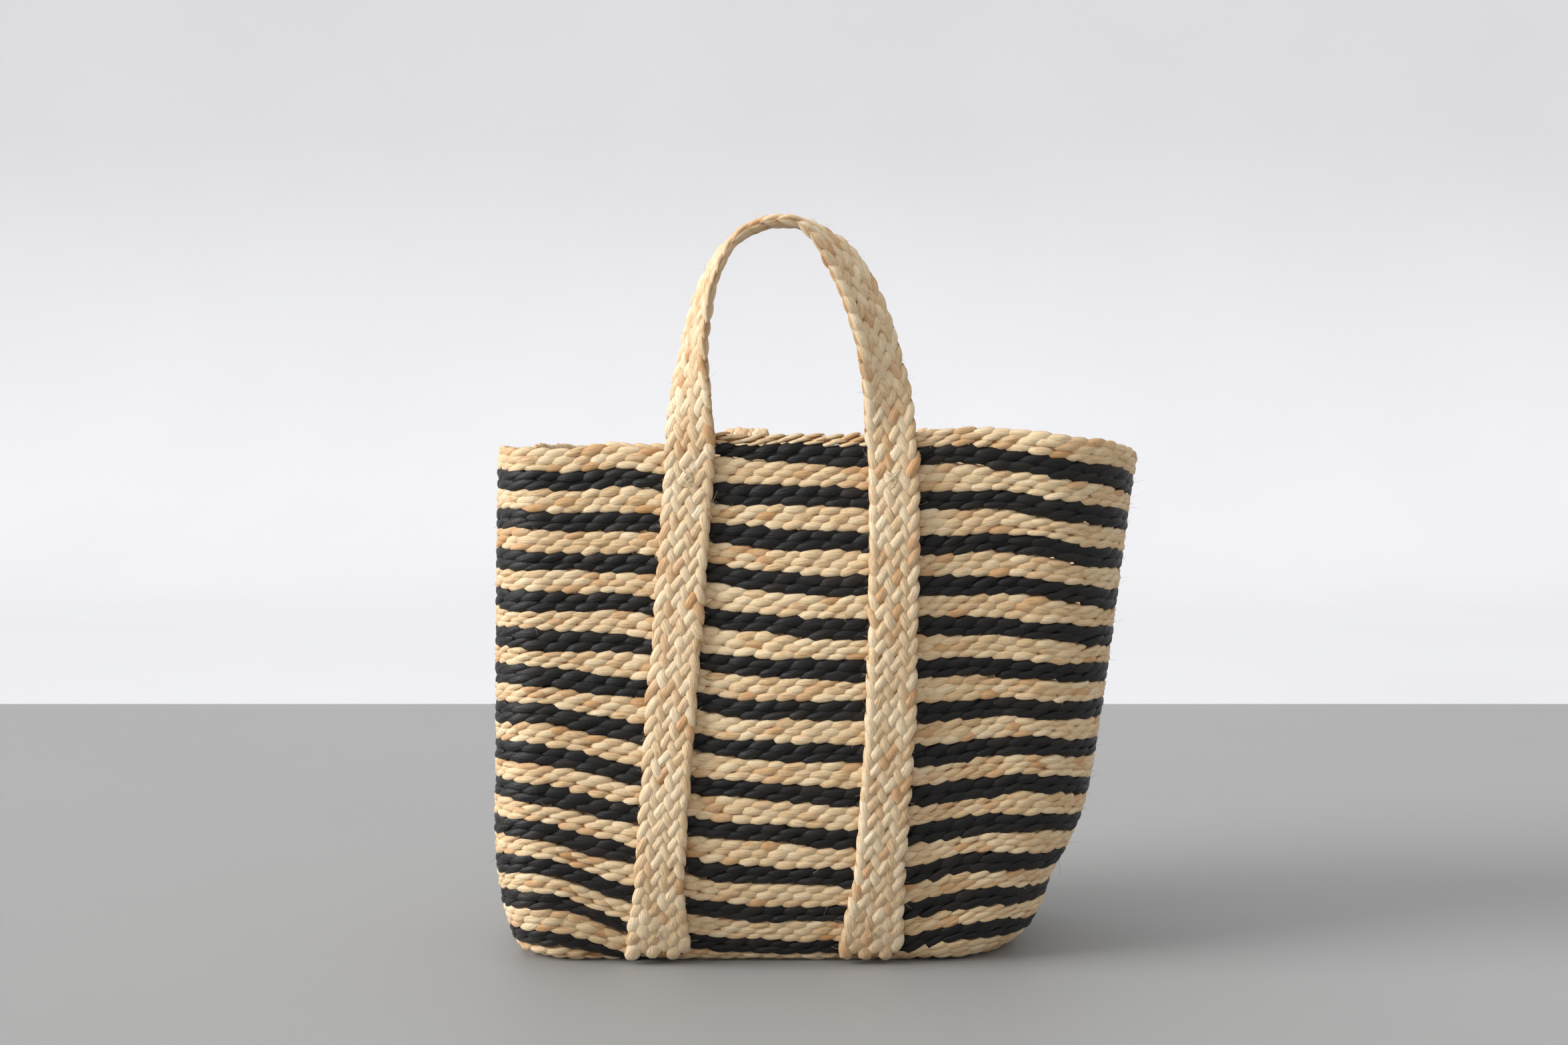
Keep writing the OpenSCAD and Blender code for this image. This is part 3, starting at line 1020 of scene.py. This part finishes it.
def add_stitch(braid, point, across, up, out, reach, lightness):
    """Two crossed runs of thread, two threads in each, that lie on a strap."""
    steps = np.linspace(-1, 1, 9)[:, None]
    for slant in (-1, 1):
        for strand in (-0.5, 0.5):
            run = across * slant * reach * steps + up * reach * steps
            shift = (across - slant * up) * strand * 0.6 * MM
            rise = out * (STRAP_HALF + 0.7 * MM - 1.8 * MM * steps ** 4)
            line = point + run + shift + rise + RNG.normal(0, 0.15 * MM, (9, 3))
            direction = unit(np.gradient(line, axis=0))
            ring = round_ring(np.cross(out, direction), out, 5)
            braid.tube(line, ring * 0.28 * MM, (lightness, 0.0, 0.0, 1.0))


def build_stitches(end):
    """The thread that fastens a strap at the rim and at its feet."""
    line, across, out, (left_hinge, right_hinge) = strap_path(end)
    run = run_along(line)
    braid = Braid()
    for distance, reach, lightness in STITCHES:
        left = distance if distance > 0 else left_hinge + distance
        right = run[-1] - distance if distance > 0 else right_hinge - distance
        for where in (left, right):
            at = np.array([where])
            point, side, face = (pick(v, run, at)[0] for v in (line, across, out))
            add_stitch(braid, point, side, np.cross(face, side), face, reach, lightness)
    piece = braid.build(f"{end}_threads", THREAD)
    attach(piece, "basket")
    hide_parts(f"{end}_stitches")


# ---- Stage, light and camera ----

def plain_material(name, colour, roughness):
    """Plain matt paint, very slightly mottled."""
    shader = Shader(name)
    position = shader.node("ShaderNodeTexCoord").outputs["Object"]
    mottled = shader.noise(position, 3.0, 4.0)
    darker = tuple(c * 0.94 for c in colour[:3]) + (1.0,)
    shader.link(shader.mix(mottled, darker, colour), shader.surface.inputs["Base Color"])
    shader.surface.inputs["Roughness"].default_value = roughness
    return shader.material


def build_stage():
    """A pale grey floor in front of a white sheet that curves up behind it, both square to the camera."""
    half_width, floor_edge, curve_start, radius, top = 6.0, 1.09, 2.2, 0.9, 5.0
    angles = np.linspace(0.13, math.pi / 2, 12)
    curve = [(curve_start + radius * math.sin(a), radius - radius * math.cos(a)) for a in angles]
    sweep = [(floor_edge, 0.0), (curve_start, 0.0), *curve, (curve_start + radius, top)]
    ground = [(-half_width, 0.0), (floor_edge, 0.0)]
    parts = [("floor", ground, "#9d9d9c", 0.6), ("backdrop", sweep, "#dcdcde", 0.8)]
    for name, line, colour, roughness in parts:
        points = [(x, y, z) for y, z in line for x in (-half_width, half_width)]
        faces = [(2 * i, 2 * i + 1, 2 * i + 3, 2 * i + 2) for i in range(len(line) - 1)]
        mesh = bpy.data.meshes.new(name)
        mesh.from_pydata(points, [], faces)
        mesh.polygons.foreach_set("use_smooth", np.ones(len(faces), dtype=bool))
        mesh.materials.append(plain_material(f"{name}_paint", srgb(colour), roughness))
        sheet = bpy.data.objects.new(name, mesh)
        sheet.rotation_euler.z = CAMERA_TURN
        bpy.context.collection.objects.link(sheet)


def add_lamp(name, kind, place, target, **settings):
    """Puts a light at a place and aims it at a target."""
    data = bpy.data.lights.new(name, kind)
    for key, value in settings.items():
        setattr(data, key, value)
    lamp = bpy.data.objects.new(name, data)
    lamp.location = place
    lamp.rotation_euler = (Vector(target) - Vector(place)).to_track_quat("-Z", "Y").to_euler()
    bpy.context.collection.objects.link(lamp)


def build_lights():
    """Plain soft studio light: a pale surround, a wide soft sun from the left and a faint top light."""
    world = bpy.data.worlds.new("studio")
    bpy.context.scene.world = world
    world.use_nodes = True
    background = world.node_tree.nodes["Background"]
    background.inputs["Color"].default_value = (0.985, 0.99, 1.0, 1.0)
    background.inputs["Strength"].default_value = 0.7
    add_lamp("window", "SUN", (-3.7, -1.7, 2.0), (0, 0, 0.2), energy=3.4, angle=math.radians(32))
    add_lamp("ceiling", "AREA", (-0.5, 0.1, 2.6), (0, 0.1, 0), energy=12, size=2.0)


def build_camera():
    """The camera, a little right of the front and slightly above the basket."""
    data = bpy.data.cameras.new("camera")
    data.lens = 50
    data.sensor_width = 36
    camera = bpy.data.objects.new("camera", data)
    camera.location = (0.212, -1.436, 0.366)
    camera.rotation_euler = Euler((math.radians(90 - 3.43), 0, CAMERA_TURN))
    bpy.context.collection.objects.link(camera)
    bpy.context.scene.camera = camera
    bpy.context.scene.view_settings.view_transform = "Standard"


build_camera()
build_lights()
build_stage()
build_courses()
for end in ("front", "rear"):
    build_strap(end)
    build_stitches(end)
